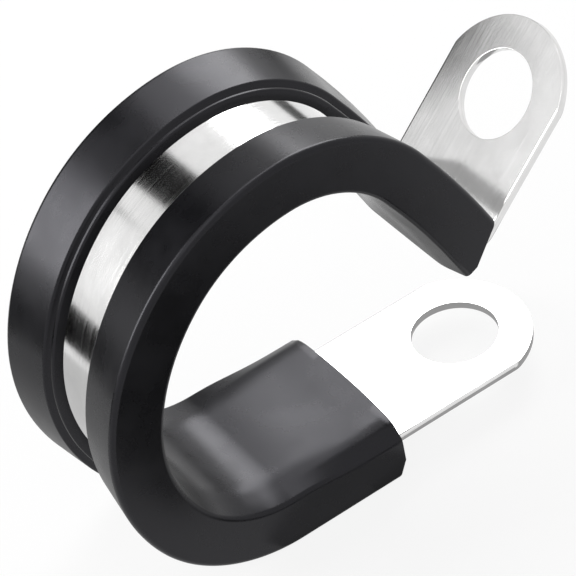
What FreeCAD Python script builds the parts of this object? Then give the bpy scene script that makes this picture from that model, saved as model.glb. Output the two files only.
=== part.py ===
"""Rubber-lined p clip, held open: a bent steel strip with two holed tabs, and a rubber channel round its loop.

The strip starts at the lower tab's tip, runs flat into the loop, goes round it clockwise as seen with +X to
the right and +Z up, and is folded outwards into the upper tab. The rubber channel follows the strip from the
loop's lower end to its upper end. The origin is the centre of the lower tab's hole, in the tab's underside.
Millimetres and degrees.
"""
import FreeCAD, Part
import math
import os
import Sketcher

VECTOR = FreeCAD.Vector
UP = VECTOR(0, 0, 1)
ROOT = (-1, 1)

# Driving dimensions: name, value in millimetres or degrees, and what it measures.
SIZES = (
    ("band_width", "15", "width of the steel strip"),
    ("band_thickness", "0.8", "thickness of the steel strip"),
    ("hole_diameter", "8.4", "fixing hole in each tab, clearance for an M8 screw"),
    ("hole_to_tip", "7.3", "from a hole's centre to its tab's tip"),
    ("tip_ease", "0.2", "how much larger a tab's round end is than half the strip's width"),
    ("foot_reach", "13.45", "from the lower hole to the lips' lower end"),
    ("foot_straight", "10.7", "flat stretch of the loop, from the lips' lower end to the heel"),
    ("heel_radius", "11.8", "inner face of the strip in the lower bend"),
    ("heel_turn", "60.9", "turn of the lower bend"),
    ("low_back_radius", "16.9", "inner face of the strip above the heel"),
    ("low_back_turn", "42.5", "turn above the heel"),
    ("back_radius", "21.85", "inner face of the strip at the back of the loop"),
    ("back_turn", "32.85", "turn at the back of the loop"),
    ("high_back_radius", "17.75", "inner face of the strip below the crown"),
    ("high_back_turn", "40.4", "turn below the crown"),
    ("crown_radius", "11.9", "inner face of the strip in the upper bend"),
    ("crown_turn", "60.4", "turn of the upper bend"),
    ("brow_radius", "78", "inner face of the strip from the upper bend to the lips' upper end"),
    ("brow_turn", "8.9", "turn from the upper bend to the lips' upper end"),
    ("fold_lead", "1.35", "from the lips' upper end to the start of the fold"),
    ("fold_radius", "1", "inside radius of the fold"),
    ("fold_turn", "109.9", "turn of the fold"),
    ("tab_reach", "10.65", "from the end of the fold to the upper hole"),
    ("channel_clearance", "0.05", "gap between the strip and the rubber all round"),
    ("liner_wall", "1.45", "rubber beside each edge of the strip"),
    ("pad_thickness", "2.45", "pad from the strip's inner face to the middle of the bore face"),
    ("shoulder_width", "3.4", "sloping border of the bore face, on each side of its flat middle"),
    ("shoulder_drop", "0.6", "how much lower the bore face is at its edges"),
    ("shoulder_radius", "9", "rounding from the flat middle to the sloping border"),
    ("bore_edge_radius", "0.5", "rounding of the bore face's edges"),
    ("groove_width", "7", "gap between the two lips, where the strip shows"),
    ("lip_crest", "3.35", "outer edge of a lip, above the strip's inner face"),
    ("lip_crest_radius", "0.5", "rounding of a lip's outer edge"),
    ("lip_edge", "2.6", "inner edge of a lip, above the strip's inner face"),
    ("lip_edge_radius", "0.25", "rounding of a lip's inner edge"),
    ("ledge_drop", "0.7", "from a lip's inner edge down to its ledge"),
    ("ledge_step", "0.35", "how far the ledge stands into the groove"),
    ("ledge_radius", "0.2", "rounding of the ledge"),
    ("low_slant", "1.35", "how far the pad runs out past the lips at the lower end"),
    ("low_knee", "0.6", "height of the lower end's slanted cut above the strip's inner face"),
    ("high_slant", "2.8", "how far the pad runs out past the lips at the upper end"),
    ("high_knee", "-1.3", "height of the upper end's slanted cut above the strip's inner face"),
    ("end_bow", "0.4", "how much the pad's end edges bow outwards"),
)
CUT_MARGIN = 1.0
TIP_MARGIN = 0.1
SWEEP_TOLERANCE = 0.001


class Measure:
    """A number together with the expression that gives it from the sheet of sizes."""

    def __init__(self, text, value):
        self.text = text
        self.value = value

    def _join(self, other, sign, value):
        return Measure("(%s %s %s)" % (self.text, sign, as_measure(other).text), value)

    def __add__(self, other):
        return self._join(other, "+", self.value + as_measure(other).value)

    def __sub__(self, other):
        return self._join(other, "-", self.value - as_measure(other).value)

    def __mul__(self, other):
        return self._join(other, "*", self.value * as_measure(other).value)

    def __truediv__(self, other):
        return self._join(other, "/", self.value / as_measure(other).value)

    def __neg__(self):
        return Measure("-%s" % self.text, -self.value)


def as_measure(number):
    """A plain number as a Measure; a Measure as it is."""
    if isinstance(number, Measure):
        return number
    return Measure(repr(float(number)), float(number))


class Sizes:
    """The sheet of sizes, whose cells are read by name as Measures."""

    def __init__(self, doc):
        self.sheet = doc.addObject("Spreadsheet::Sheet", "Sizes")
        for row, (name, value, meaning) in enumerate(SIZES, start=1):
            self.sheet.set("A%d" % row, meaning)
            self.sheet.set("B%d" % row, value)
            self.sheet.setAlias("B%d" % row, name)
        doc.recompute()

    def __getattr__(self, name):
        return Measure("Sizes.%s" % name, float(self.sheet.get(name)))


def origin_plane(body, role):
    """One of a body's own origin planes."""
    for feature in body.Origin.OriginFeatures:
        if feature.Role == role:
            return feature
    raise ValueError(role)


def new_sketch(body, name, role):
    """An empty sketch on one of the body's origin planes."""
    sketch = body.newObject("Sketcher::SketchObject", name)
    sketch.AttachmentSupport = (origin_plane(body, role), [""])
    sketch.MapMode = "FlatFace"
    return sketch


def bind(owner, path, measure):
    """Ties a property to the sheet of sizes."""
    owner.setExpression(path, measure.text)


def constrain(sketch, name, measure, kind, *references):
    """Adds a named dimension whose value comes from the sheet of sizes."""
    value = math.radians(measure.value) if kind == "Angle" else measure.value
    index = sketch.addConstraint(Sketcher.Constraint(kind, *references, value))
    sketch.renameConstraint(index, name)
    bind(sketch, "Constraints.%s" % name, measure)


def place_point(sketch, name, point, x, z):
    """Holds a sketch point at given distances from the sketch's origin."""
    constrain(sketch, name + "_x", x, "DistanceX", *ROOT, *point)
    constrain(sketch, name + "_z", z, "DistanceY", *ROOT, *point)


def read_point(sketch, name, point):
    """Adds two driven dimensions that tell where a sketch point has come to lie."""
    found = []
    for kind, letter in (("DistanceX", "x"), ("DistanceY", "z")):
        index = sketch.addConstraint(Sketcher.Constraint(kind, *ROOT, *point, 1.0))
        sketch.setDriving(index, False)
        sketch.renameConstraint(index, "%s_%s" % (name, letter))
        found.append("%s.Constraints.%s_%s" % (sketch.Name, name, letter))
    return [Measure(text, 0.0) for text in found]


class Chain:
    """Lines and arcs drawn end to end in a sketch, each tangent to the one before."""

    def __init__(self, sketch, name, x, z):
        self.sketch = sketch
        self.name = name
        self.place = (x, z)
        self.point = VECTOR(x.value, z.value, 0)
        self.heading = math.pi
        self.start = None
        self.end = None
        self.count = 0

    def _left(self):
        return VECTOR(-math.sin(self.heading), math.cos(self.heading), 0)

    def _link(self, geometry, first, last):
        self.count += 1
        if self.end is None:
            self.start = (geometry, first)
            place_point(self.sketch, self.name + "_start", self.start, *self.place)
            self.sketch.addConstraint(Sketcher.Constraint("Horizontal", geometry))
        else:
            self.sketch.addConstraint(Sketcher.Constraint("Tangent", *self.end, geometry, first))
        self.end = (geometry, last)

    def line(self, length):
        """A straight run of the given length."""
        target = self.point + VECTOR(math.cos(self.heading), math.sin(self.heading), 0) * length.value
        geometry = self.sketch.addGeometry(Part.LineSegment(self.point, target), False)
        self._link(geometry, 1, 2)
        constrain(self.sketch, "%s_run_%d" % (self.name, self.count), length, "Distance", geometry)
        self.point = target
        return self

    def turn_left(self, radius, turn):
        """An arc that turns the heading anticlockwise."""
        return self._arc(radius, turn, 1)

    def turn_right(self, radius, turn):
        """An arc that turns the heading clockwise."""
        return self._arc(radius, turn, -1)

    def _arc(self, radius, turn, side):
        centre = self.point + self._left() * (side * radius.value)
        first_angle = math.atan2(self.point.y - centre.y, self.point.x - centre.x)
        self.heading += side * math.radians(turn.value)
        target = centre - self._left() * (side * radius.value)
        last_angle = first_angle + side * math.radians(turn.value)
        circle = Part.Circle(centre, UP, radius.value)
        bow = Part.ArcOfCircle(circle, min(first_angle, last_angle), max(first_angle, last_angle))
        geometry = self.sketch.addGeometry(bow, False)
        if side > 0:
            self._link(geometry, 1, 2)
        else:
            self._link(geometry, 2, 1)
        constrain(self.sketch, "%s_radius_%d" % (self.name, self.count), radius, "Radius", geometry)
        constrain(self.sketch, "%s_turn_%d" % (self.name, self.count), turn, "Angle", geometry)
        self.point = target
        return self


def draw_outline(sketch, corners):
    """A closed outline from named corners (name, x, y, rounding); a rounding of None leaves a sharp corner."""
    points = [VECTOR(x.value, y.value, 0) for _, x, y, _ in corners]
    arrive = []
    leave = []
    for index, (_, _, _, rounding) in enumerate(corners):
        corner = points[index]
        back = (points[index - 1] - corner).normalize()
        ahead = (points[(index + 1) % len(points)] - corner).normalize()
        half = back.getAngle(ahead) / 2
        setback = 0.0 if rounding is None else rounding.value / math.tan(half)
        arrive.append(corner + back * setback)
        leave.append(corner + ahead * setback)
    lines = []
    for index in range(len(corners)):
        segment = Part.LineSegment(leave[index], arrive[(index + 1) % len(corners)])
        lines.append(sketch.addGeometry(segment, False))
    for index, (name, x, y, rounding) in enumerate(corners):
        before = lines[index - 1]
        after = lines[index]
        if rounding is None:
            sketch.addConstraint(Sketcher.Constraint("Coincident", before, 2, after, 1))
            held = (after, 1)
        else:
            meeting = round_corner(sketch, name, points[index], arrive[index], leave[index], before, after, rounding)
            held = (meeting, 1)
        constrain(sketch, name + "_y", y, "DistanceY", *ROOT, *held)
        if x.value == 0:
            sketch.addConstraint(Sketcher.Constraint("Vertical", *ROOT, *held))
        else:
            constrain(sketch, name + "_x", x, "DistanceX", *ROOT, *held)


def round_corner(sketch, name, corner, arrive, leave, before, after, rounding):
    """Joins two lines by an arc tangent to both; returns the point where the lines would meet."""
    bisector = ((arrive + leave) * 0.5 - corner).normalize()
    reach = math.hypot(arrive.distanceToPoint(corner), rounding.value)
    centre = corner + bisector * reach
    first = math.atan2(arrive.y - centre.y, arrive.x - centre.x)
    last = math.atan2(leave.y - centre.y, leave.x - centre.x)
    sweep = (last - first) % (2 * math.pi)
    anticlockwise = sweep < math.pi
    low = first if anticlockwise else last
    span = sweep if anticlockwise else 2 * math.pi - sweep
    circle = Part.Circle(centre, UP, rounding.value)
    arc = sketch.addGeometry(Part.ArcOfCircle(circle, low, low + span), False)
    sketch.addConstraint(Sketcher.Constraint("Tangent", before, 2, arc, 1 if anticlockwise else 2))
    sketch.addConstraint(Sketcher.Constraint("Tangent", after, 1, arc, 2 if anticlockwise else 1))
    constrain(sketch, name + "_radius", rounding, "Radius", arc)
    meeting = sketch.addGeometry(Part.Point(corner), True)
    sketch.addConstraint(Sketcher.Constraint("PointOnObject", meeting, 1, before))
    sketch.addConstraint(Sketcher.Constraint("PointOnObject", meeting, 1, after))
    return meeting


def draw_round_end_waste(sketch, tip, radius, half, far):
    """The region outside a round end: an arc about the X axis, closed by a frame beyond the tip."""
    centre = tip - radius
    rise = math.asin(half.value / radius.value)
    arc = Part.ArcOfCircle(Part.Circle(VECTOR(centre.value, 0, 0), UP, radius.value), -rise, rise)
    bow = sketch.addGeometry(arc, False)
    corner_x = centre.value + radius.value * math.cos(rise)
    frame = (
        VECTOR(corner_x, half.value, 0),
        VECTOR(far.value, half.value, 0),
        VECTOR(far.value, -half.value, 0),
        VECTOR(corner_x, -half.value, 0),
    )
    sides = [sketch.addGeometry(Part.LineSegment(frame[i], frame[i + 1]), False) for i in range(3)]
    joints = (((bow, 2), (sides[0], 1)), ((sides[0], 2), (sides[1], 1)), ((sides[1], 2), (sides[2], 1)),
              ((sides[2], 2), (bow, 1)))
    for one, other in joints:
        sketch.addConstraint(Sketcher.Constraint("Coincident", *one, *other))
    sketch.addConstraint(Sketcher.Constraint("Horizontal", sides[0]))
    sketch.addConstraint(Sketcher.Constraint("Vertical", sides[1]))
    sketch.addConstraint(Sketcher.Constraint("Horizontal", sides[2]))
    sketch.addConstraint(Sketcher.Constraint("Horizontal", *ROOT, bow, 3))
    constrain(sketch, "end_radius", radius, "Radius", bow)
    constrain(sketch, "end_centre", centre, "DistanceX", *ROOT, bow, 3)
    constrain(sketch, "frame_far", far, "DistanceX", *ROOT, sides[1], 1)
    constrain(sketch, "frame_top", half, "DistanceY", *ROOT, sides[1], 1)
    constrain(sketch, "frame_bottom", -half, "DistanceY", *ROOT, sides[1], 2)


def lay_flat(sketch, x, z, angle):
    """Puts a plan sketch on the strip's inner or outer face at x, z, rising by angle towards its local +X."""
    sketch.AttachmentOffset = FreeCAD.Placement(VECTOR(), FreeCAD.Rotation(VECTOR(0, 1, 0), -angle.value))
    bind(sketch, "AttachmentOffset.Base.x", x)
    bind(sketch, "AttachmentOffset.Base.z", z)
    bind(sketch, "AttachmentOffset.Rotation.Angle", -angle)


def stand_up(sketch, x, z, angle):
    """Puts a side-view sketch at x, z, turned by angle from +X towards +Z."""
    sketch.AttachmentOffset = FreeCAD.Placement(VECTOR(), FreeCAD.Rotation(UP, angle.value))
    bind(sketch, "AttachmentOffset.Base.x", x)
    bind(sketch, "AttachmentOffset.Base.y", z)
    bind(sketch, "AttachmentOffset.Rotation.Angle", angle)


def cut_both_ways(body, name, sketch, depth):
    """Cuts a sketch through the body, half the depth to each side of the sketch's plane."""
    before = body.Shape.Volume
    pocket = body.newObject("PartDesign::Pocket", name)
    pocket.Profile = sketch
    pocket.Type = "Length"
    pocket.SideType = "Symmetric"
    bind(pocket, "Length", depth)
    body.Document.recompute()
    if body.Shape.Volume >= before:
        raise RuntimeError("%s removed nothing" % name)


def add_loop_bends(chain, size, outwards):
    """The six bends of the loop, on the strip's inner face or moved outwards from it."""
    for bend in ("heel", "low_back", "back", "high_back", "crown", "brow"):
        radius = getattr(size, bend + "_radius")
        if outwards is not None:
            radius = radius + outwards
        chain.turn_right(radius, getattr(size, bend + "_turn"))


def loop_turn(size):
    """Sum of the loop's six bends."""
    return (size.heel_turn + size.low_back_turn + size.back_turn + size.high_back_turn + size.crown_turn
            + size.brow_turn)


def heading_after_loop(size):
    """The strip's direction at the loop's upper end, from +X towards +Z: it enters the loop towards -X."""
    return as_measure(math.degrees(math.pi)) - loop_turn(size)


def half_liner(size):
    """From the middle of the clip to a side face of the rubber."""
    return size.band_width / 2 + size.channel_clearance + size.liner_wall


def punch_tab(body, name, x, z, angle, size):
    """Rounds a tab's end and punches its hole, in a plan sketch whose origin is the hole's centre."""
    sketch = new_sketch(body, name + "_plan", "XY_Plane")
    lay_flat(sketch, x, z, angle)
    half = size.band_width / 2 + TIP_MARGIN
    radius = size.band_width / 2 + size.tip_ease
    draw_round_end_waste(sketch, size.hole_to_tip, radius, half, size.hole_to_tip + CUT_MARGIN)
    hole = Part.Circle(VECTOR(), UP, size.hole_diameter.value / 2)
    ring = sketch.addGeometry(hole, False)
    sketch.addConstraint(Sketcher.Constraint("Coincident", ring, 3, *ROOT))
    constrain(sketch, "hole_diameter", size.hole_diameter, "Diameter", ring)
    cut_both_ways(body, name + "_punching", sketch, size.band_thickness * 4)


def build_band(doc, size):
    """The steel strip: its side profile at full width, then each tab's round end and hole."""
    body = doc.addObject("PartDesign::Body", "steel_band")
    body.Label = "steel_band"
    profile = new_sketch(body, "band_profile", "XZ_Plane")
    foot = size.hole_to_tip + size.foot_reach + size.foot_straight
    tab = size.tab_reach + size.hole_to_tip
    inner = Chain(profile, "inner", size.hole_to_tip, size.band_thickness)
    inner.line(foot)
    add_loop_bends(inner, size, None)
    inner.line(size.fold_lead)
    inner.turn_left(size.fold_radius + size.band_thickness, size.fold_turn)
    inner.line(tab)
    outer = Chain(profile, "outer", size.hole_to_tip, as_measure(0))
    outer.line(foot)
    add_loop_bends(outer, size, size.band_thickness)
    outer.line(size.fold_lead)
    outer.turn_left(size.fold_radius, size.fold_turn)
    outer.line(size.tab_reach)
    hole_point = outer.end
    outer.line(size.hole_to_tip)
    for one, other in ((inner.start, outer.start), (inner.end, outer.end)):
        ends = [profile.getPoint(*one), profile.getPoint(*other)]
        cap = profile.addGeometry(Part.LineSegment(*ends), False)
        profile.addConstraint(Sketcher.Constraint("Coincident", cap, 1, *one))
        profile.addConstraint(Sketcher.Constraint("Coincident", cap, 2, *other))
    tab_x, tab_z = read_point(profile, "tab_hole", hole_point)
    strip = body.newObject("PartDesign::Pad", "strip")
    strip.Profile = profile
    strip.SideType = "Symmetric"
    bind(strip, "Length", size.band_width)
    doc.recompute()
    punch_tab(body, "lower_tab", as_measure(0), size.band_thickness, as_measure(0), size)
    punch_tab(body, "upper_tab", tab_x, tab_z, heading_after_loop(size) + size.fold_turn, size)
    return body


def mirrored(corners):
    """Corners on the +X side, followed by their mirror images in reverse order."""
    twins = [(name + "_twin", -x, y, rounding) for name, x, y, rounding in reversed(corners)]
    return list(corners) + twins


def draw_channel(sketch, size):
    """The channel's section: X across the width, Y from the strip's inner face towards the bore."""
    side = half_liner(size)
    wall = side - size.liner_wall
    lip = size.groove_width / 2
    foot = lip - size.ledge_step
    ledge = size.ledge_drop - size.lip_edge
    roof = -(size.band_thickness + size.channel_clearance)
    corners = (
        ("shoulder", side - size.shoulder_width, size.pad_thickness, size.shoulder_radius),
        ("bore_edge", side, size.pad_thickness - size.shoulder_drop, size.bore_edge_radius),
        ("crest", side, -size.lip_crest, size.lip_crest_radius),
        ("lip_edge", lip, -size.lip_edge, size.lip_edge_radius),
        ("ledge_root", lip, ledge, None),
        ("ledge", foot, ledge, size.ledge_radius),
        ("lip_foot", foot, roof, None),
        ("roof", wall, roof, None),
        ("floor", wall, size.channel_clearance, None),
    )
    draw_outline(sketch, mirrored(corners))


def trim_liner_end(body, name, x, z, angle, side, reach, knee, size):
    """Cuts one end of the channel: the lips on a slant from their end to the pad's, the pad on a shallow bow.

    The cut's origin is the lips' end on the strip's inner face, its +X points out of the channel, and side is
    the sign of the outward direction, away from the bore.
    """
    slant = new_sketch(body, name + "_slant", "XZ_Plane")
    stand_up(slant, x, z, angle)
    top = size.lip_crest * side
    beyond = (size.lip_crest + CUT_MARGIN) * side
    out = reach + CUT_MARGIN
    draw_outline(slant, (
        ("lip_end", as_measure(0), top, None),
        ("pad_end", reach, knee * side, None),
        ("pad_out", out, knee * side, None),
        ("lip_out", out, beyond, None),
        ("lip_over", as_measure(0), beyond, None),
    ))
    half = half_liner(size)
    cut_both_ways(body, name + "_slant_cut", slant, half * 2 + CUT_MARGIN)
    bow = new_sketch(body, name + "_bow", "XY_Plane")
    lay_flat(bow, x, z, angle)
    radius = (half * half + size.end_bow * size.end_bow) / (size.end_bow * 2)
    draw_round_end_waste(bow, reach, radius, half + CUT_MARGIN, out)
    cut_both_ways(body, name + "_bow_cut", bow, (size.lip_crest + size.pad_thickness) * 2)


def build_liner(doc, size):
    """The rubber channel: its lipped section swept round the loop, then both ends trimmed."""
    body = doc.addObject("PartDesign::Body", "rubber_liner")
    body.Label = "rubber_liner"
    path = new_sketch(body, "liner_path", "XZ_Plane")
    start = size.low_slant - size.foot_reach
    route = Chain(path, "route", start, size.band_thickness)
    route.line(size.low_slant + size.foot_straight)
    add_loop_bends(route, size, None)
    lips_end = route.end
    route.line(size.high_slant)
    end_x, end_z = read_point(path, "lips_end", lips_end)
    section = new_sketch(body, "liner_section", "YZ_Plane")
    bind(section, "AttachmentOffset.Base.y", size.band_thickness)
    bind(section, "AttachmentOffset.Base.z", start)
    draw_channel(section, size)
    doc.recompute()
    channel = body.newObject("PartDesign::AdditivePipe", "channel")
    channel.Profile = section
    channel.Spine = path
    doc.recompute()
    check_sweep(channel, section, path, size)
    level = as_measure(0)
    trim_liner_end(body, "low_end", -size.foot_reach, size.band_thickness, level, -1,
                   size.low_slant, size.low_knee, size)
    heading = heading_after_loop(size)
    trim_liner_end(body, "high_end", end_x, end_z, heading, 1, size.high_slant, size.high_knee, size)
    return body


def check_sweep(channel, section, path, size):
    """Stops if the swept volume isn't the section's area times the length that its centroid runs."""
    face = Part.Face(section.Shape.Wires[0])
    lift = face.CenterOfMass.z - size.band_thickness.value
    length = path.Shape.Length - lift * math.radians(loop_turn(size).value)
    error = channel.Shape.Volume / (face.Area * length) - 1
    print("channel %.1f mm3, %.6f off its section times its length" % (channel.Shape.Volume, error))
    if abs(error) > SWEEP_TOLERANCE:
        raise RuntimeError("the channel's sweep is not sound")


def check(doc, bodies):
    """Stops where an object has failed or a sub-part has no sound solid."""
    for item in doc.Objects:
        if {"Invalid", "Error"} & set(item.State):
            raise RuntimeError("%s is %s" % (item.Label, item.State))
    for body in bodies:
        shape = body.Shape
        if shape.isNull() or not shape.isValid() or len(shape.Solids) != 1:
            raise RuntimeError("%s has no sound solid" % body.Label)


def main():
    """Builds both sub-parts and writes each to parts/ under its own name."""
    doc = FreeCAD.newDocument("p_clip")
    size = Sizes(doc)
    bodies = [build_band(doc, size), build_liner(doc, size)]
    doc.recompute()
    check(doc, bodies)
    os.makedirs("parts", exist_ok=True)
    for body in bodies:
        body.Shape.exportStep("parts/%s.step" % body.Label)
        box = body.Shape.BoundBox
        print("%s %.1f mm3, %.1f x %.1f x %.1f mm" % (body.Label, body.Shape.Volume, box.XLength, box.YLength,
                                                      box.ZLength))


main()
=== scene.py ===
"""Looks of a rubber-lined p clip: a bent steel strip with two holed tabs, and the rubber channel round its loop.

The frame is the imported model's: the origin is the centre of the lower tab's hole in the tab's underside, +Z goes up
through the tab, +X runs from the loop to the tab's tip and Y lies across the strip. Sizes are in millimetres and
degrees, and become metres where a mesh is made.
"""

import logging
import math
from dataclasses import dataclass, replace
from enum import Enum

import bmesh
import bpy
from mathutils import Matrix, Vector


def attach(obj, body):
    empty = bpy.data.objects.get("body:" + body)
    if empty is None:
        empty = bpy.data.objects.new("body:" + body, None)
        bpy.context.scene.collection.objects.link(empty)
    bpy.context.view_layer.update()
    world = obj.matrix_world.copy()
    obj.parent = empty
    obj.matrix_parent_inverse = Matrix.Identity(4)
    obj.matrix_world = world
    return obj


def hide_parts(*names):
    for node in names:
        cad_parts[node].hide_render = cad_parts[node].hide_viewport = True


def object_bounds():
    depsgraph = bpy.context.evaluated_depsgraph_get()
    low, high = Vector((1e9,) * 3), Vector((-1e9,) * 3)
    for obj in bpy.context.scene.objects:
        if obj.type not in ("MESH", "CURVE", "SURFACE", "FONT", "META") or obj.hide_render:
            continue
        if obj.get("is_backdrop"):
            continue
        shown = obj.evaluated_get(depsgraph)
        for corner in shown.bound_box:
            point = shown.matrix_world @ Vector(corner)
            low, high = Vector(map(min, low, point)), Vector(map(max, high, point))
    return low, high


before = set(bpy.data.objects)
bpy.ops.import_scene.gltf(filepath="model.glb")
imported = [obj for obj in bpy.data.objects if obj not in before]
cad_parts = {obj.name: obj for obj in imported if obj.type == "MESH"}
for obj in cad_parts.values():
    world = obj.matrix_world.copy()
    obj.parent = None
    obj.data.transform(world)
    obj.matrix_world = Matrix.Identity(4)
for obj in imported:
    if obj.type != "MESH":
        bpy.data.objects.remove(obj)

LOG = logging.getLogger("p_clip")
MM = 0.001
BODY = "root"
WHITE = (1.0, 1.0, 1.0, 1.0)
UP = Vector((0.0, 0.0, 1.0))
ACROSS = Vector((0.0, 1.0, 0.0))


class Slot(Enum):
    """Material slots of the record."""

    STEEL = "steel"
    RUBBER = "rubber"


class Turn(Enum):
    """Which way a bend goes, for someone who walks along the strip with the loop's bore on the right."""

    LEFT = -1
    RIGHT = 1


# The line that both pieces follow.


@dataclass(frozen=True)
class Run:
    """A straight stretch of the strip, `length` long, in one or more steps."""

    length: float
    steps: int = 1


@dataclass(frozen=True)
class Bend:
    """An arc of the strip: the radius of its inner face, and how far and which way it turns."""

    radius: float
    angle: float
    turn: Turn = Turn.RIGHT

    @property
    def length(self) -> float:
        """Length of the arc."""
        return self.radius * math.radians(self.angle)


@dataclass(frozen=True)
class Station:
    """A place on the route: where it is in side view, and which way the route heads there."""

    x: float
    z: float
    heading: float

    @property
    def ahead(self) -> Vector:
        """Unit vector along the route."""
        return Vector((math.cos(self.heading), 0.0, math.sin(self.heading)))

    @property
    def right(self) -> Vector:
        """Unit vector to the route's right, which is the bore's side."""
        return Vector((math.sin(self.heading), 0.0, -math.cos(self.heading)))

    @property
    def place(self) -> Vector:
        """The station as a point in space."""
        return Vector((self.x, 0.0, self.z))

    def bend_centre(self, bend: Bend) -> Vector:
        """Centre of an arc that starts here."""
        return self.place + self.right * (bend.radius * bend.turn.value)

    def after(self, leg: Run | Bend) -> "Station":
        """The station at the far end of a leg that starts here.

        Args:
            leg: The straight run or the arc.

        Returns:
            The next station.
        """
        if isinstance(leg, Run):
            end = self.place + self.ahead * leg.length
            return Station(end.x, end.z, self.heading)
        centre = self.bend_centre(leg)
        turned = Station(0.0, 0.0, self.heading - leg.turn.value * math.radians(leg.angle))
        end = centre - turned.right * (leg.radius * leg.turn.value)
        return Station(end.x, end.z, turned.heading)


@dataclass(frozen=True)
class Route:
    """The line of the strip's inner face in side view: a start, and legs that follow it end to end."""

    start: Station
    legs: tuple[Run | Bend, ...]

    def stations(self) -> list[Station]:
        """Start of every leg, and the end of the last."""
        found = [self.start]
        for leg in self.legs:
            found.append(found[-1].after(leg))
        return found

    def locate(self, point: Vector) -> float:
        """How far along the route a point lies.

        Args:
            point: A point near the route, in millimetres.

        Returns:
            The distance from the route's start to the nearest place on it.
        """
        best = (math.inf, 0.0)
        passed = 0.0
        for station, leg in zip(self.stations(), self.legs):
            if isinstance(leg, Run):
                along = (point - station.place).dot(station.ahead)
                away = abs((point - station.place).dot(station.right))
            else:
                arm = point - station.bend_centre(leg)
                first = -station.right * leg.turn.value
                angle = math.atan2(arm.dot(station.ahead), arm.dot(first))
                along = angle * leg.radius
                away = abs(math.hypot(arm.x, arm.z) - leg.radius)
            past = max(0.0, -along, along - leg.length)
            if away + past < best[0]:
                best = (away + past, passed + min(max(along, 0.0), leg.length))
            passed += leg.length
        return best[1]


@dataclass(frozen=True)
class LoopShape:
    """Sizes that the strip and the rubber share."""

    band_width: float = 15.0
    band_thickness: float = 0.8
    foot_reach: float = 13.45
    foot_straight: float = 10.7
    heel: Bend = Bend(11.8, 60.9)
    low_back: Bend = Bend(16.9, 42.5)
    back: Bend = Bend(21.85, 32.85)
    high_back: Bend = Bend(17.75, 40.4)
    crown: Bend = Bend(11.9, 60.4)
    brow: Bend = Bend(78.0, 8.9)

    @property
    def half_width(self) -> float:
        """From the middle of the strip to its edge."""
        return self.band_width / 2

    @property
    def bends(self) -> tuple[Bend, ...]:
        """The loop's six arcs, from the lower end to the upper."""
        return (self.heel, self.low_back, self.back, self.high_back, self.crown, self.brow)

    def route(self, first_x: float, tail: tuple[Run | Bend, ...], steps: int = 1) -> Route:
        """A route that enters the loop from the lower tab's side and goes round it.

        Args:
            first_x: Where the route starts on the flat part.
            tail: What follows the loop's upper end.
            steps: How many steps the flat part is made in.

        Returns:
            The whole route.
        """
        flat = Run(first_x + self.foot_reach + self.foot_straight, steps)
        return Route(Station(first_x, self.band_thickness, math.pi), (flat, *self.bends, *tail))


# Modelling by hand, in code.


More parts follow.
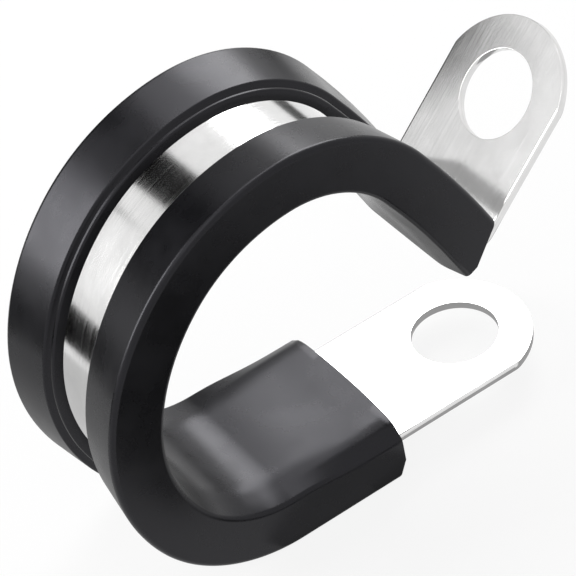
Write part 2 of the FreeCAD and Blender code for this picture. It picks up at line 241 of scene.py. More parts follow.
class Bench:
    """The mesh-making steps that both pieces need, each done with Blender's own operators.

    MERGE and FLAT are in metres: points this near count as one, and points this near a plane lie on it. BEND_STEP,
    SHARP and SMOOTH are in degrees: the largest turn between two rings of an arc, the angle over which an edge is
    broken, and the angle under which it is shaded smooth.
    """

    MERGE: float = 1e-7
    FLAT: float = 1e-6
    BEND_STEP: float = 2.0
    SHARP: float = 50.0
    SMOOTH: float = 35.0
    BROKEN_EDGE_STEPS: int = 2
    NORMAL_WEIGHT: int = 80

    @staticmethod
    def clear() -> None:
        """Leaves edit mode and deselects every object."""
        if bpy.context.object and bpy.context.object.mode != "OBJECT":
            bpy.ops.object.mode_set(mode="OBJECT")
        bpy.ops.object.select_all(action="DESELECT")

    @staticmethod
    def take(obj: bpy.types.Object) -> None:
        """Makes one object the only selected and active one."""
        Bench.clear()
        obj.select_set(True)
        bpy.context.view_layer.objects.active = obj

    @staticmethod
    def name(name: str) -> bpy.types.Object:
        """Names the active object and its mesh."""
        obj = bpy.context.object
        obj.name = name
        obj.data.name = name
        return obj

    @staticmethod
    def trace(name: str, points: list[Vector]) -> bpy.types.Object:
        """Draws a line of edges: a plane shrunk to one point, which is extruded from place to place.

        Args:
            name: Name of the new object.
            points: The line's points in metres.

        Returns:
            The object, still in edit mode, with all of the line selected.
        """
        Bench.clear()
        bpy.ops.mesh.primitive_plane_add(size=MM, location=points[0])
        obj = Bench.name(name)
        bpy.ops.object.transform_apply(location=True, rotation=True, scale=True)
        bpy.ops.object.mode_set(mode="EDIT")
        bpy.ops.mesh.select_all(action="SELECT")
        bpy.ops.mesh.merge(type="CENTER")
        for here, there in zip(points, points[1:]):
            bpy.ops.mesh.extrude_vertices_move(TRANSFORM_OT_translate={"value": there - here})
        bpy.ops.mesh.select_all(action="SELECT")
        return obj

    @staticmethod
    def nearest(mesh: bmesh.types.BMesh, place: Vector) -> bmesh.types.BMVert:
        """The vertex nearest to a place."""
        return min(mesh.verts, key=lambda vertex: (vertex.co - place).length)

    @staticmethod
    def end_vertices(mesh: bmesh.types.BMesh, station: Station, out: Vector, reach: float
                     ) -> list[bmesh.types.BMVert]:
        """Picks the vertices of a piece's flat end.

        Args:
            mesh: The piece's mesh, in metres.
            station: Where the end is.
            out: Unit vector that points out of the end.
            reach: How far from the station the end can reach, in millimetres.

        Returns:
            The vertices.
        """
        found = []
        for vertex in mesh.verts:
            arm = vertex.co - station.place * MM
            if abs(arm.dot(out)) < Bench.FLAT and arm.length < reach * MM:
                found.append(vertex)
        return found

    @staticmethod
    def connect(obj: bpy.types.Object, one: Vector, other: Vector) -> None:
        """Splits a face by an edge between two of its corners.

        Args:
            obj: The object, in edit mode.
            one: Where one corner is, in metres.
            other: Where the other is.
        """
        mesh = bmesh.from_edit_mesh(obj.data)
        ends = [Bench.nearest(mesh, place) for place in (one, other)]
        bpy.ops.mesh.select_all(action="DESELECT")
        for vertex in ends:
            vertex.select_set(True)
        bmesh.update_edit_mesh(obj.data)
        bpy.ops.mesh.vert_connect()

    @staticmethod
    def round_corner(obj: bpy.types.Object, corner: Vector, radius: float, segments: int) -> None:
        """Rounds one corner of a face.

        Args:
            obj: The object, in edit mode.
            corner: Where the corner is, in metres.
            radius: The rounding's radius in metres.
            segments: How many edges the arc gets.
        """
        mesh = bmesh.from_edit_mesh(obj.data)
        vertex = Bench.nearest(mesh, corner)
        arms = [(edge.other_vert(vertex).co - vertex.co).normalized() for edge in vertex.link_edges]
        half = arms[0].angle(arms[1]) / 2
        bpy.ops.mesh.select_all(action="DESELECT")
        vertex.select_set(True)
        bmesh.update_edit_mesh(obj.data)
        bpy.ops.mesh.bevel(offset=radius / math.tan(half), segments=segments, affect="VERTICES", profile=0.5)

    @staticmethod
    def sweep(route: Route) -> None:
        """Carries the selected face along a route and leaves a closed solid behind it.

        Args:
            route: The route, which starts where the face is.
        """
        for station, leg in zip(route.stations(), route.legs):
            if isinstance(leg, Run):
                move = station.ahead * (leg.length / leg.steps * MM)
                for _ in range(leg.steps):
                    bpy.ops.mesh.extrude_region_move(TRANSFORM_OT_translate={"value": move})
            else:
                centre = station.bend_centre(leg) * MM
                bpy.ops.mesh.spin(steps=math.ceil(leg.angle / Bench.BEND_STEP), dupli=False, use_auto_merge=False,
                                  angle=-math.radians(leg.angle) * leg.turn.value, center=centre, axis=ACROSS)

    @staticmethod
    def outward(obj: bpy.types.Object) -> None:
        """Merges doubles and turns every face outwards; the object is in edit mode."""
        bpy.ops.mesh.select_all(action="SELECT")
        bpy.ops.mesh.remove_doubles(threshold=Bench.MERGE)
        bpy.ops.mesh.normals_make_consistent(inside=False)

    @staticmethod
    def apply(obj: bpy.types.Object, kind: str, **settings: object) -> None:
        """Adds a modifier, sets it up and applies it.

        Args:
            obj: The object it goes on.
            kind: The modifier's type.
            **settings: Its settings, by their own names.
        """
        Bench.take(obj)
        modifier = obj.modifiers.new(kind.lower(), kind)
        for setting, value in settings.items():
            setattr(modifier, setting, value)
        bpy.ops.object.modifier_apply(modifier=modifier.name)

    @staticmethod
    def soften(obj: bpy.types.Object, width: float) -> None:
        """Breaks the sharp edges and smooths what is left.

        Args:
            obj: The finished shape.
            width: Width of the broken edges in metres.
        """
        Bench.apply(obj, "BEVEL", width=width, segments=Bench.BROKEN_EDGE_STEPS, limit_method="ANGLE",
                    angle_limit=math.radians(Bench.SHARP), use_clamp_overlap=True)
        Bench.take(obj)
        bpy.ops.object.shade_smooth_by_angle(angle=math.radians(Bench.SMOOTH), keep_sharp_edges=False)
        Bench.apply(obj, "WEIGHTED_NORMAL", keep_sharp=True, weight=Bench.NORMAL_WEIGHT)

    @staticmethod
    def map_strip(obj: bpy.types.Object, route: Route) -> None:
        """Lays a UV map on a piece: U along the route and V across it, both in metres.

        Args:
            obj: The piece.
            route: The route it follows.
        """
        places = [(route.locate(Vector((v.co.x / MM, 0.0, v.co.z / MM))) * MM, v.co.y) for v in obj.data.vertices]
        layer = obj.data.uv_layers.new(name="strip")
        for loop in obj.data.loops:
            layer.data[loop.index].uv = places[loop.vertex_index]


# Finishes.


@dataclass(frozen=True)
class Pattern:
    """A noise pattern: features to the metre each way, how many finer layers it has, and how strong they are."""

    stretch: tuple[float, float, float]
    detail: float
    roughness: float


class Nodes:
    """A material's node tree, with the few links and nodes that the finishes share.

    LOW and HIGH are the noise factors at which a range of values or colours starts and ends.
    """

    LOW: float = 0.3
    HIGH: float = 0.7

    def __init__(self, name: str) -> None:
        """Starts an empty material with a Principled shader."""
        self.material = bpy.data.materials.new(name)
        self.material.use_nodes = True
        self.tree = self.material.node_tree
        self.shader = self.tree.nodes["Principled BSDF"]

    def add(self, kind: str, **inputs: object) -> bpy.types.Node:
        """Adds a node.

        Args:
            kind: The node's type name, without its ShaderNode prefix.
            **inputs: Values for its sockets, by name with underscores for spaces.

        Returns:
            The node.
        """
        node = self.tree.nodes.new("ShaderNode" + kind)
        for socket, value in inputs.items():
            node.inputs[socket.replace("_", " ")].default_value = value
        return node

    def link(self, source: bpy.types.NodeSocket, target: bpy.types.NodeSocket) -> None:
        """Joins two sockets."""
        self.tree.links.new(source, target)

    def noise(self, vector: bpy.types.NodeSocket, pattern: Pattern) -> bpy.types.NodeSocket:
        """Lays a noise pattern on some coordinates.

        Args:
            vector: The coordinates, in metres.
            pattern: The pattern.

        Returns:
            The noise's factor.
        """
        mapping = self.add("Mapping", Scale=pattern.stretch)
        self.link(vector, mapping.inputs["Vector"])
        noise = self.add("TexNoise", Scale=1.0, Detail=pattern.detail, Roughness=pattern.roughness)
        self.link(mapping.outputs["Vector"], noise.inputs["Vector"])
        return noise.outputs["Fac"]

    def spread(self, value: bpy.types.NodeSocket, low: float, high: float, target: bpy.types.NodeSocket) -> None:
        """Turns a noise's factor into a range of values for a socket.

        Args:
            value: The factor.
            low: Value where the factor is low.
            high: Value where it is high.
            target: The socket that takes the result.
        """
        ramp = self.add("MapRange", From_Min=self.LOW, From_Max=self.HIGH, To_Min=low, To_Max=high)
        self.link(value, ramp.inputs["Value"])
        self.link(ramp.outputs["Result"], target)

    def tint(self, value: bpy.types.NodeSocket, low: tuple[float, float, float], high: tuple[float, float, float],
             target: bpy.types.NodeSocket) -> None:
        """Turns a noise's factor into a blend of two colours.

        Args:
            value: The factor.
            low: Colour where the factor is low.
            high: Colour where it is high.
            target: The socket that takes the colour.
        """
        ramp = self.tree.nodes.new("ShaderNodeValToRGB")
        for element, position, colour in zip(ramp.color_ramp.elements, (self.LOW, self.HIGH), (low, high)):
            element.position = position
            element.color = (*colour, 1.0)
        self.link(value, ramp.inputs["Fac"])
        self.link(ramp.outputs["Color"], target)

    def bump(self, height: bpy.types.NodeSocket, depth: float, strength: float,
             under: bpy.types.NodeSocket | None = None) -> bpy.types.NodeSocket:
        """Raises a pattern from the surface.

        Args:
            height: The pattern.
            depth: Its depth in metres.
            strength: How much of it shows.
            under: Another bump that this one adds to.

        Returns:
            The normal.
        """
        bump = self.add("Bump", Distance=depth, Strength=strength)
        self.link(height, bump.inputs["Height"])
        if under is not None:
            self.link(under, bump.inputs["Normal"])
        return bump.outputs["Normal"]


@dataclass(frozen=True)
class BrushedSteel:
    """Satin stainless sheet, with fine grinding lines along the strip and a few soft smudges."""

    bright: tuple[float, float, float] = (0.8, 0.797, 0.794)
    dull: tuple[float, float, float] = (0.7, 0.697, 0.695)
    smooth: float = 0.06
    rough: float = 0.2
    lines: Pattern = Pattern((90.0, 9000.0, 1.0), 4.0, 0.65)
    line_depth: float = 0.003 * MM
    line_strength: float = 0.5
    smudges: Pattern = Pattern((260.0, 260.0, 260.0), 3.0, 0.5)

    def make(self) -> bpy.types.Material:
        """Builds the material."""
        nodes = Nodes("brushed_steel")
        strip = nodes.add("UVMap")
        strip.uv_map = "strip"
        place = nodes.add("TexCoord").outputs["Object"]
        lines = nodes.noise(strip.outputs["UV"], self.lines)
        smudges = nodes.noise(place, self.smudges)
        nodes.shader.inputs["Metallic"].default_value = 1.0
        nodes.tint(smudges, self.bright, self.dull, nodes.shader.inputs["Base Color"])
        nodes.spread(lines, self.smooth, self.rough, nodes.shader.inputs["Roughness"])
        normal = nodes.bump(lines, self.line_depth, self.line_strength)
        nodes.link(normal, nodes.shader.inputs["Normal"])
        return nodes.material


@dataclass(frozen=True)
class RubberSkin:
    """Black extruded rubber: satin, with a very fine grain and faint lines along the extrusion.

    Its shine is dimmed by painted shade where something stands within the painted shade occlusion's distance, as in
    the groove.
    """

    deep: tuple[float, float, float] = (0.003, 0.003, 0.0036)
    worn: tuple[float, float, float] = (0.006, 0.006, 0.0072)
    shine: float = 0.3
    painted_shade_shine: float = 0.02
    painted_shade_occlusion: float = 2.5 * MM
    tinge: tuple[float, float, float] = (0.92, 0.91, 1.0)
    smooth: float = 0.24
    rough: float = 0.32
    clouds: Pattern = Pattern((240.0, 240.0, 240.0), 4.0, 0.55)
    grain: Pattern = Pattern((7000.0, 7000.0, 7000.0), 2.0, 0.5)
    grain_strength: float = 0.3
    lines: Pattern = Pattern((30.0, 1600.0, 1.0), 2.0, 0.5)
    line_strength: float = 0.25
    relief: float = 0.01 * MM

    def make(self) -> bpy.types.Material:
        """Builds the material."""
        nodes = Nodes("satin_rubber")
        strip = nodes.add("UVMap")
        strip.uv_map = "strip"
        place = nodes.add("TexCoord").outputs["Object"]
        grain = nodes.noise(place, self.grain)
        clouds = nodes.noise(place, self.clouds)
        lines = nodes.noise(strip.outputs["UV"], self.lines)
        nodes.tint(clouds, self.deep, self.worn, nodes.shader.inputs["Base Color"])
        nodes.shader.inputs["Specular Tint"].default_value = (*self.tinge, 1.0)
        # Painted shade: an ambient occlusion test dims the rubber's shine in the groove and other hollows, since
        # reflections don't see the rubber itself.
        painted_shade_occlusion = nodes.add("AmbientOcclusion", Distance=self.painted_shade_occlusion)
        nodes.spread(painted_shade_occlusion.outputs["AO"], self.painted_shade_shine, self.shine,
                     nodes.shader.inputs["Specular IOR Level"])
        nodes.spread(clouds, self.smooth, self.rough, nodes.shader.inputs["Roughness"])
        drawn = nodes.bump(lines, self.relief, self.line_strength)
        normal = nodes.bump(grain, self.relief, self.grain_strength, drawn)
        nodes.link(normal, nodes.shader.inputs["Normal"])
        return nodes.material


# The steel strip.


@dataclass(frozen=True)
class SteelBand:
    """The bent strip: flat lower tab, open loop, sharp fold and upper tab."""

    shape: LoopShape = LoopShape()
    hole_diameter: float = 8.4
    hole_to_tip: float = 7.3
    tip_ease: float = 0.2
    fold_lead: float = 1.35
    fold_radius: float = 1.0
    fold_turn: float = 109.9
    tab_reach: float = 10.65
    slit_edge: float = 0.25
    slit_edge_steps: int = 4
    broken_edge: float = 0.15
    points_across: int = 41
    punch_length: float = 4.8
    punch_sides: int = 128

    @property
    def route(self) -> Route:
        """The strip's whole length, from the lower tip to the upper."""
        fold = Bend(self.fold_radius + self.shape.band_thickness, self.fold_turn, Turn.LEFT)
        return self.shape.route(self.hole_to_tip, (Run(self.fold_lead), fold, Run(self.tab_reach + self.hole_to_tip)))

    @property
    def tip_radius(self) -> float:
        """Radius of a tab's round end."""
        return self.shape.half_width + self.tip_ease

    def tip_setback(self, across: float) -> float:
        """How far a tab's round end lies behind its tip at some distance from the middle."""
        return self.tip_radius - math.sqrt(self.tip_radius ** 2 - min(abs(across), self.shape.half_width) ** 2)

    def draw_section(self) -> bpy.types.Object:
        """The strip's section at the lower tip, with slightly rounded edges.

        Returns:
            The object, in edit mode, with the section as its only, selected face.
        """
        start = self.route.start
        half = self.shape.half_width
        gaps = self.points_across - 1
        # Even steps along the tip's arc. The outermost step is longer and leaves room for the slit edge.
        reach = math.asin(half / self.tip_radius) * (gaps - 2) / gaps
        spread = [math.sin(reach * (2 * i / gaps - 1)) * self.tip_radius for i in range(self.points_across)]
        spread[0] = -half
        spread[-1] = half
        rise = UP * (self.shape.band_thickness * MM)
        lower = [Vector((start.x, y, 0.0)) * MM for y in spread]
        band = Bench.trace("steel_strip", lower)
        bpy.ops.mesh.extrude_region_move(TRANSFORM_OT_translate={"value": rise})
        for corner in (lower[0], lower[-1], lower[0] + rise, lower[-1] + rise):
            Bench.round_corner(band, corner, self.slit_edge * MM, self.slit_edge_steps)
        bpy.ops.mesh.select_all(action="SELECT")
        return band

    def round_tip(self, band: bpy.types.Object, station: Station, out: Vector) -> None:
        """Draws the points of a flat end back to the tab's round outline.

        Args:
            band: The strip, in edit mode.
            station: Where the end is.
            out: Unit vector that points out of the end.
        """
        mesh = bmesh.from_edit_mesh(band.data)
        for vertex in Bench.end_vertices(mesh, station, out, self.shape.band_width):
            vertex.co -= out * (self.tip_setback(vertex.co.y / MM) * MM)
        bmesh.update_edit_mesh(band.data)

    def punch_hole(self, band: bpy.types.Object, centre: Vector, along: Vector) -> None:
        """Punches a fixing hole.

        Args:
            band: The strip.
            centre: The hole's centre, in millimetres.
            along: The hole's axis.
        """
        Bench.clear()
        bpy.ops.mesh.primitive_cylinder_add(vertices=self.punch_sides, radius=self.hole_diameter / 2 * MM,
                                            depth=self.punch_length * MM, location=centre * MM,
                                            rotation=UP.rotation_difference(along).to_euler())
        punch = Bench.name("punch")
        bpy.ops.object.transform_apply(location=True, rotation=True, scale=True)
        Bench.apply(band, "BOOLEAN", object=punch, operation="DIFFERENCE", solver="EXACT")
        bpy.data.objects.remove(punch)

    def build(self) -> bpy.types.Object:
        """Models the strip.

        Returns:
            The finished object.
        """
        route = self.route
        band = self.draw_section()
        Bench.sweep(route)
        Bench.outward(band)
        first, last = route.stations()[0], route.stations()[-1]
        self.round_tip(band, first, -first.ahead)
        self.round_tip(band, last, last.ahead)
        Bench.clear()
        thickness = self.shape.band_thickness
        for end, inwards in ((first, first.ahead), (last, -last.ahead)):
            centre = end.place + inwards * self.hole_to_tip - end.right * (thickness / 2)
            self.punch_hole(band, centre, end.right)
        Bench.soften(band, self.broken_edge * MM)
        Bench.map_strip(band, route)
        return band

    def dress(self, band: bpy.types.Object) -> None:
        """Gives the strip its finish and its place in the frame."""
        band.data.materials.append(BrushedSteel().make())
        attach(band, BODY)
        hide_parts("steel_band")
        # The photographed strip mirrors none of the clip itself, so reflections pass it by.
        band.visible_glossy = False


# The rubber liner.


@dataclass(frozen=True)
class Corner:
    """A corner of the liner's section: place across, height towards the bore, and how it is rounded."""

    across: float
    height: float
    radius: float = 0.0
    steps: int = 0


@dataclass(frozen=True)
class RubberLiner:
    """The extruded channel: a pad inside the loop, two walls beside the strip and two lips over its outer face."""

    shape: LoopShape = LoopShape()
    wall: float = 1.45
    clearance: float = 0.05
    pad: float = 2.45
    shoulder_width: float = 3.4
    shoulder_drop: float = 0.6
    shoulder_radius: float = 9.0
    bore_edge_radius: float = 0.5
    bore_edge_steps: int = 8
    groove_width: float = 7.0
    lip_crest: float = 3.35
    crest_radius: float = 0.5
    crest_steps: int = 5
    lip_edge: float = 2.6
    lip_edge_radius: float = 0.25
    lip_edge_steps: int = 4
    ledge_drop: float = 0.7
    ledge_step: float = 0.35
    ledge_radius: float = 0.2
    ledge_steps: int = 4
    low_slant: float = 1.35
    low_knee: float = 0.6
    high_slant: float = 2.8
    high_knee: float = -1.3
    end_bow: float = 0.4
    end_reach: float = 6.0
    worn_reach: float = 11.0
    worn_end: float = 3.0
    worn_pad: float = 2.25
    worn_width: float = 2.8
    worn_depth: float = 1.5
    margin: float = 0.01
    ribs: tuple[float, ...] = (1.5, 3.0, 4.2, 4.8, 5.2, 5.6, 6.0, 6.4, 6.9, 7.3)
    flat_steps: int = 12
    broken_edge: float = 0.12

    @property
    def route(self) -> Route:
        """The channel's length, from the lower end of its pad to the upper."""
        return self.shape.route(self.low_slant - self.shape.foot_reach, (Run(self.high_slant),), self.flat_steps)

    @property
    def half(self) -> float:
        """From the middle of the clip to a side face."""
        return self.shape.half_width + self.clearance + self.wall

    @property
    def edge_slope(self) -> float:
        """How steeply the bore face's borders fall towards its edges, in radians."""
        return math.atan2(self.shoulder_drop, self.shoulder_width)

    def bore_height(self, across: float) -> float:
        """Height of the bore face above the strip's inner face, at a distance from the middle.

        Args:
            across: The distance.

        Returns:
            The height: level in the middle, then an arc, then a straight slope.
        """
        slope = self.edge_slope
        knee = self.half - self.shoulder_width
        level = knee - self.shoulder_radius * math.tan(slope / 2)
        past = abs(across) - level
        if past <= 0:
            return self.pad
        if past < self.shoulder_radius * math.sin(slope):
            return self.pad - self.shoulder_radius + math.sqrt(self.shoulder_radius ** 2 - past ** 2)
        return self.pad - math.tan(slope) * (abs(across) - knee)

    def corners(self) -> list[Corner]:
        """Corners of the +Y half of the section, from the middle of the bore face round to its floor's middle."""
        half = self.half
        lip = self.groove_width / 2
        slot = half - self.wall
        roof = -(self.shape.band_thickness + self.clearance)
        ledge = self.ledge_drop - self.lip_edge
        return [
            Corner(0.0, self.pad),
            *(Corner(y, self.bore_height(y)) for y in self.ribs),
            Corner(half, self.bore_height(half), self.bore_edge_radius, self.bore_edge_steps),
            Corner(half, -self.lip_crest, self.crest_radius, self.crest_steps),
            Corner(lip, -self.lip_edge, self.lip_edge_radius, self.lip_edge_steps),
            Corner(lip, ledge),
            Corner(lip - self.ledge_step, ledge, self.ledge_radius, self.ledge_steps),
            Corner(lip - self.ledge_step, roof),
            Corner(slot, roof),
            Corner(slot, self.clearance),
            *(Corner(y, self.clearance) for y in reversed(self.ribs)),
        ]

    def draw_section(self) -> bpy.types.Object:
        """The section at the pad's lower end.

        Returns:
            The object, in edit mode, with the section as its only, selected face.
        """
        start = self.route.start
        right_half = self.corners()
        left_half = [replace(corner, across=-corner.across) for corner in reversed(right_half) if corner.across > 0]
        corners = right_half + left_half
        places = [Vector((start.x, corner.across, start.z + corner.height)) * MM for corner in corners]
        liner = Bench.trace("rubber_channel", places)
        bpy.ops.mesh.edge_face_add()
        for place, corner in zip(places, corners):
            if corner.radius:
                Bench.round_corner(liner, place, corner.radius * MM, corner.steps)
        # Edges from the bore face to the slot's floor split the section, so that its faces stay regular.
        for y in (*self.ribs, *(-y for y in self.ribs)):
            bore = Vector((start.x, y, start.z + self.bore_height(y))) * MM
            floor = Vector((start.x, y, start.z + self.clearance)) * MM
            Bench.connect(liner, bore, floor)
        bpy.ops.mesh.select_all(action="SELECT")
        return liner

    def bow_end(self, liner: bpy.types.Object, station: Station, out: Vector) -> None:
        """Draws the points of an end back towards the side faces, so that the pad's edge bows outwards.

        Args:
            liner: The channel, in edit mode.
            station: Where the end is.
            out: Unit vector that points out of the end.
        """
        mesh = bmesh.from_edit_mesh(liner.data)
        for vertex in Bench.end_vertices(mesh, station, out, self.shape.band_width):
            vertex.co -= out * (self.end_bow * (vertex.co.y / MM / self.half) ** 2 * MM)
        bmesh.update_edit_mesh(liner.data)

    def wear_edges(self, liner: bpy.types.Object) -> None:
        """Rolls the bore face's edges over, more and more towards the lower end.

        Args:
            liner: The channel, in edit mode.
        """
        first = self.route.start
        slope = self.edge_slope
        level = self.half - self.worn_width
        # Where the edge's rounding meets the side face, and where it meets the sloping border.
        height = self.bore_height(self.half) - self.bore_edge_radius * (1 + math.sin(slope)) / math.cos(slope)
        foot = self.half - self.bore_edge_radius * (1 - math.sin(slope))
        straight = (foot - level) / math.cos(slope)
        length = straight + self.bore_edge_radius * (math.pi / 2 - slope)
        mesh = bmesh.from_edit_mesh(liner.data)
        for vertex in mesh.verts:
            across = abs(vertex.co.y) / MM
            above = vertex.co.z / MM - first.z
            inwards = first.x - vertex.co.x / MM
            on_face = height - self.margin < above < self.pad + self.margin
            if not on_face or not -self.margin < inwards < self.worn_reach:
                continue
            fade = max(0.0, inwards - self.worn_end) / (self.worn_reach - self.worn_end)
            # A smooth step from 1 at the worn end to 0 at the reach of the wear.
            worn = (1 - fade) ** 2 * (1 + 2 * fade)
            if across <= level:
                vertex.co.z += (self.worn_pad - above) * worn * MM
                continue
            # The worn border is a quarter of an ellipse; each point keeps its share of the way round.
            if across < foot:
                passed = (across - level) / math.cos(slope)
            else:
                turned = math.asin(min(1.0, (across - self.half + self.bore_edge_radius) / self.bore_edge_radius))
                passed = straight + (turned - slope) * self.bore_edge_radius
            angle = min(1.0, passed / length) * math.pi / 2
            rolled = (level + self.worn_width * math.sin(angle),
                      self.worn_pad - self.worn_depth * (1 - math.cos(angle)))
            vertex.co.y = math.copysign((across + (rolled[0] - across) * worn) * MM, vertex.co.y)
            vertex.co.z += (rolled[1] - above) * worn * MM
        bmesh.update_edit_mesh(liner.data)

    def slant_end(self, liner: bpy.types.Object, station: Station, out: Vector, slant: float, knee: float) -> None:
        """Cuts the lips back on a slant, from the knee at the pad's end to the lips' own end.

        Args:
            liner: The channel, in edit mode.
            station: The pad's end.
            out: Unit vector that points out of the end.
            slant: How far the pad runs out past the lips.
            knee: Height of the slant's foot above the strip's inner face, away from the bore.
        """
        away = -station.right
        foot = station.place + away * knee
        top = station.place - out * slant + away * self.lip_crest
        along = (top - foot).normalized()
        normal = along.cross(ACROSS)
        if normal.dot(out) < 0:
            normal.negate()
        mesh = bmesh.from_edit_mesh(liner.data)
        bpy.ops.mesh.select_all(action="DESELECT")
        for face in mesh.faces:
            side_view = (Vector((v.co.x, 0.0, v.co.z)) for v in face.verts)
            face.select_set(min((point - station.place * MM).length for point in side_view) < self.end_reach * MM)
        bmesh.update_edit_mesh(liner.data)
        bpy.ops.mesh.bisect(plane_co=foot * MM, plane_no=normal, use_fill=True, clear_outer=True,
                            threshold=Bench.MERGE)

    def build(self) -> bpy.types.Object:
        """Models the channel.

        Returns:
            The finished object.
        """
        route = self.route
        liner = self.draw_section()
        Bench.sweep(route)
        Bench.outward(liner)
        first, last = route.stations()[0], route.stations()[-1]
        self.wear_edges(liner)
        self.bow_end(liner, first, -first.ahead)
        self.bow_end(liner, last, last.ahead)
        self.slant_end(liner, first, -first.ahead, self.low_slant, self.low_knee)
        self.slant_end(liner, last, last.ahead, self.high_slant, self.high_knee)
        Bench.outward(liner)
        Bench.soften(liner, self.broken_edge * MM)
        Bench.map_strip(liner, route)
        return liner

    def dress(self, liner: bpy.types.Object) -> None:
        """Gives the channel its finish and its place in the frame."""
        liner.data.materials.append(RubberSkin().make())
        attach(liner, BODY)
        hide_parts("rubber_liner")
        # The photographed strip and tabs mirror none of the rubber, so reflections pass it by.
        liner.visible_glossy = False


# Floor, light and camera.


def direction(azimuth: float, elevation: float) -> Vector:
    """Unit vector towards a place in the sky; azimuth 0 is the front, -Y, and 90 is +X."""
    turn, rise = math.radians(azimuth), math.radians(elevation)
    return Vector((math.sin(turn) * math.cos(rise), -math.cos(turn) * math.cos(rise), math.sin(rise)))


def rays_that_show(tree: bpy.types.NodeTree) -> bpy.types.NodeSocket:
    """Tells the rays that show a surface from those that only carry its light.

    Args:
        tree: The node tree that asks.

    Returns:
        A value of 1 for camera, mirror and transmission rays, and 0 for the rest.
    """
    path = tree.nodes.new("ShaderNodeLightPath")
    shown = path.outputs["Is Camera Ray"]
    for kind in ("Is Glossy Ray", "Is Transmission Ray"):
        either = tree.nodes.new("ShaderNodeMath")
        either.operation = "MAXIMUM"
        tree.links.new(shown, either.inputs[0])
        tree.links.new(path.outputs[kind], either.inputs[1])
        shown = either.outputs["Value"]
    return shown


@dataclass(frozen=True)
class Panel:
    """A flat rectangle that stands round the clip and faces it; its sizes are in metres and degrees."""

    name: str
    azimuth: float
    elevation: float
    distance: float
    width: float
    height: float
    glow: float

    def stand(self, aim: Vector) -> Matrix:
        """Where it stands, as a matrix whose own -Z points at the clip.

        Args:
            aim: The point that it faces.

        Returns:
            The matrix.
        """
        back = direction(self.azimuth, self.elevation)
        return Matrix.Translation(aim + back * self.distance) @ (-back).to_track_quat("-Z", "Y").to_matrix().to_4x4()


@dataclass(frozen=True)
class Softbox(Panel):
    """A soft lamp. The camera doesn't see it, but the clip mirrors it."""

    def place(self, aim: Vector) -> None:
        """Adds the lamp.

        Args:
            aim: The point that it faces.
        """
        light = bpy.data.lights.new(self.name, "AREA")
        light.shape = "RECTANGLE"
        light.size = self.width
        light.size_y = self.height
        light.energy = self.glow * math.pi * self.width * self.height
        lamp = bpy.data.objects.new(self.name, light)
        bpy.context.scene.collection.objects.link(lamp)
        lamp.matrix_world = self.stand(aim)
        lamp.visible_camera = False


@dataclass(frozen=True)
class Flag(Panel):
    """A black or grey card, which only mirror images show: a painted reflection that neither lights nor shades the
    clip.
    """

    def place(self, aim: Vector) -> None:
        """Adds the card.

        Args:
            aim: The point that it faces.
        """
        Bench.clear()
        bpy.ops.mesh.primitive_plane_add(size=1.0)
        card = Bench.name(self.name)
        card.matrix_world = self.stand(aim) @ Matrix.Diagonal((self.width, self.height, 1.0, 1.0))
        bpy.ops.object.transform_apply(location=True, rotation=True, scale=True)
        nodes = Nodes(self.name)
        glow = nodes.add("Emission", Color=WHITE, Strength=self.glow)
        nodes.link(glow.outputs["Emission"], nodes.tree.nodes["Material Output"].inputs["Surface"])
        card.data.materials.append(nodes.material)
        # Painted reflection: the card glows only into mirror images; camera, light and shadow rays pass it by.
        card.visible_camera = False
        card.visible_diffuse = False
        card.visible_transmission = False
        card.visible_volume_scatter = False
        card.visible_shadow = False
        card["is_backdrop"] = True


@dataclass(frozen=True)
class FloorFlag(Flag):
    """A black or grey card that lies on the floor, which only mirror images show: a painted reflection, or a painted
    shadow where it lies by the clip; its height is its length away from the clip.
    """

    def stand(self, aim: Vector) -> Matrix:
        """Where it lies, as a matrix whose own Z points up.

        Args:
            aim: A point on the floor below the clip's middle.

        Returns:
            The matrix.
        """
        turned = Matrix.Rotation(math.radians(self.azimuth), 4, "Z")
        return Matrix.Translation(aim + direction(self.azimuth, self.elevation) * self.distance) @ turned


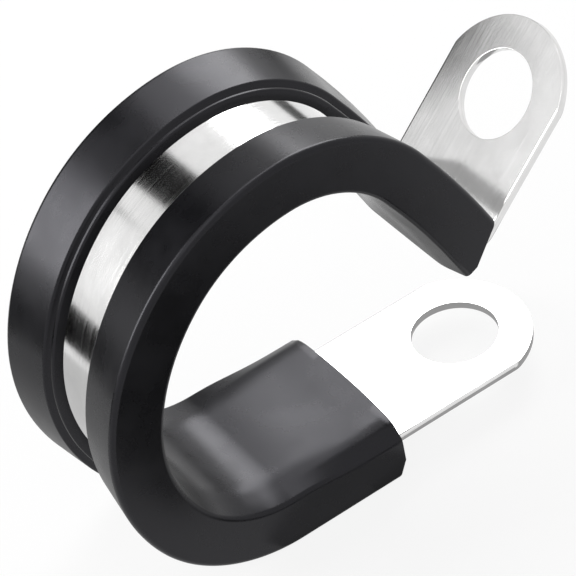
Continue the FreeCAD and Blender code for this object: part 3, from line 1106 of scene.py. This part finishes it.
@dataclass(frozen=True)
class Studio:
    """A pale floor, an even white surround, soft lamps, and cards that only the clip's mirror images show, as painted
    reflections, painted shadows and painted shade.

    The floor lies a hair below the clip, and each floor card a hair above the last, so that no two faces meet.
    """

    floor_size: float = 3.0
    floor_colour: tuple[float, float, float] = (0.9, 0.9, 0.9)
    floor_roughness: float = 0.9
    floor_glow: float = 0.88
    floor_gap: float = 0.02 * MM
    card_gap: float = 0.002 * MM
    fill: float = 0.2
    softboxes: tuple[Softbox, ...] = (
        Softbox("key", -60.0, 60.0, 0.5, 0.35, 0.35, 0.9),
        Softbox("right_box", 137.0, 38.0, 0.3, 0.155, 0.155, 6.5),
        Softbox("left_box", -119.0, 26.0, 0.3, 0.11, 0.19, 7.5),
        Softbox("back_box", 178.0, 66.0, 0.3, 0.16, 0.12, 3.0),
    )
    # Painted reflections: the first three cards darken parts of the mirrored surround; the last, a hair from the
    # upper tab's root, paints shade into the strip there.
    flags: tuple[Flag, ...] = (
        Flag("back_flag", -170.5, 13.5, 0.25, 0.23, 0.178, 0.0),
        Flag("high_flag", -162.0, 48.0, 0.25, 0.068, 0.135, 0.0),
        Flag("right_flag", 132.0, 0.0, 0.25, 0.048, 0.05, 0.05),
        Flag("tab_root_painted_shade", 90.0, 33.8, 0.01095, 0.018, 0.0052, 0.42),
    )
    # Painted shadows and painted reflections: cards on the floor that only mirror images show. The cards under and
    # behind the lower tab and beside the loop's lower left paint the clip's shadow on the floor. The card under the
    # loop's far side paints the loop's own body, which its pieces don't mirror. The rest darken or grey the floor
    # that the clip mirrors.
    floor_flags: tuple[FloorFlag, ...] = (
        FloorFlag("front_grey", 9.7, 0.0, 0.0467, 0.034, 0.024, 0.4),
        FloorFlag("front_dark", -9.4, 0.0, 0.0375, 0.03, 0.03, 0.1),
        FloorFlag("face_grey", -29.0, 0.0, 0.0126, 0.014, 0.008, 0.5),
        FloorFlag("tab_painted_shadow", 82.0, 0.0, 0.0143, 0.021, 0.032, 0.4),
        FloorFlag("tab_back_painted_shadow", 133.4, 0.0, 0.0233, 0.012, 0.03, 0.5),
        FloorFlag("bore_painted_reflection", -138.4, 0.0, 0.0107, 0.018, 0.02, 0.2),
        FloorFlag("left_painted_shadow", -124.6, 0.0, 0.0475, 0.044, 0.05, 0.62),
        FloorFlag("left_dark", -134.0, 0.0, 0.18, 0.15, 0.19, 0.0),
    )

    def lay_floor(self, level: float) -> None:
        """Adds the floor under the clip.

        Args:
            level: Its height in metres.
        """
        Bench.clear()
        bpy.ops.mesh.primitive_plane_add(size=self.floor_size, location=(0, 0, level))
        floor = Bench.name("floor")
        nodes = Nodes("pale_floor")
        shader = nodes.shader
        shader.inputs["Base Color"].default_value = (*self.floor_colour, 1.0)
        shader.inputs["Roughness"].default_value = self.floor_roughness
        amount = nodes.add("Math")
        amount.operation = "MULTIPLY"
        amount.inputs[1].default_value = self.floor_glow
        nodes.link(rays_that_show(nodes.tree), amount.inputs[0])
        glow = nodes.add("Emission", Color=WHITE, Strength=1.0)
        mix = nodes.add("MixShader")
        nodes.link(amount.outputs["Value"], mix.inputs["Fac"])
        nodes.link(shader.outputs["BSDF"], mix.inputs[1])
        nodes.link(glow.outputs["Emission"], mix.inputs[2])
        nodes.link(mix.outputs["Shader"], nodes.tree.nodes["Material Output"].inputs["Surface"])
        floor.data.materials.append(nodes.material)
        floor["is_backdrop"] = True

    def light_surround(self) -> None:
        """Makes the world white to the rays that show it, and an even fill light to the rest."""
        world = bpy.data.worlds.new("surround")
        bpy.context.scene.world = world
        world.use_nodes = True
        tree = world.node_tree
        background = tree.nodes["Background"]
        background.inputs["Color"].default_value = WHITE
        strength = tree.nodes.new("ShaderNodeMapRange")
        strength.inputs["To Min"].default_value = self.fill
        strength.inputs["To Max"].default_value = 1.0
        tree.links.new(rays_that_show(tree), strength.inputs["Value"])
        tree.links.new(strength.outputs["Result"], background.inputs["Strength"])

    def build(self, lowest: Vector, highest: Vector) -> None:
        """Sets up everything round the clip.

        Args:
            lowest: Lowest corner of the clip's box.
            highest: Highest corner.
        """
        level = lowest.z - self.floor_gap
        self.lay_floor(level)
        self.light_surround()
        middle = (lowest + highest) / 2
        for panel in (*self.softboxes, *self.flags):
            panel.place(middle)
        for layer, card in enumerate(self.floor_flags, 1):
            card.place(Vector((middle.x, middle.y, level + self.card_gap * layer)))
        bpy.context.scene.view_settings.view_transform = "Standard"


@dataclass(frozen=True)
class PhotoCamera:
    """The camera that the photograph was taken with, as fitted to the strip's and the rubber's edges.

    The fit's unit is 1.5 mm, and its origin is the lips' lower end on the strip's inner face. Its distance and its
    two shifts are in that unit, the sensor is in millimetres, and what the camera can see is in metres.
    """

    azimuth: float = -25.8615
    elevation: float = 41.182
    roll: float = -12.6419
    distance: float = 159.2266
    focal_pixels: float = 2582.291
    shift_right: float = 3.151
    shift_up: float = -7.0661
    unit: float = 1.5
    origin_x: float = -13.435
    image_side: float = 576.0
    sensor_width: float = 36.0
    nearest: float = 0.01
    farthest: float = 10.0

    def build(self, shape: LoopShape) -> None:
        """Adds the camera and makes it the scene's.

        Args:
            shape: Gives the height of the fit's origin.
        """
        back = direction(self.azimuth, self.elevation)
        level = Vector((math.cos(math.radians(self.azimuth)), math.sin(math.radians(self.azimuth)), 0.0))
        upright = back.cross(level)
        roll = math.radians(self.roll)
        right = level * math.cos(roll) + upright * math.sin(roll)
        up = upright * math.cos(roll) - level * math.sin(roll)
        offset = back * self.distance - right * self.shift_right - up * self.shift_up
        origin = Vector((self.origin_x, 0.0, shape.band_thickness))
        data = bpy.data.cameras.new("photo_camera")
        data.sensor_width = self.sensor_width
        data.lens = self.focal_pixels * self.sensor_width / self.image_side
        data.clip_start = self.nearest
        data.clip_end = self.farthest
        camera = bpy.data.objects.new("photo_camera", data)
        bpy.context.scene.collection.objects.link(camera)
        turned = Matrix((right, up, back)).transposed().to_4x4()
        camera.matrix_world = Matrix.Translation((origin + offset * self.unit) * MM) @ turned
        bpy.context.scene.camera = camera


def main() -> None:
    """Builds and dresses the clip, then sets up the studio round it."""
    logging.basicConfig(level=logging.INFO, format="%(message)s")
    cad_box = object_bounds()
    shape = LoopShape()
    for maker in (SteelBand(shape), RubberLiner(shape)):
        piece = maker.build()
        maker.dress(piece)
        LOG.info("%s: %d faces", piece.name, len(piece.data.polygons))
    Studio().build(*cad_box)
    PhotoCamera().build(shape)
    LOG.info("sizes written")


if __name__ == "__main__":
    main()
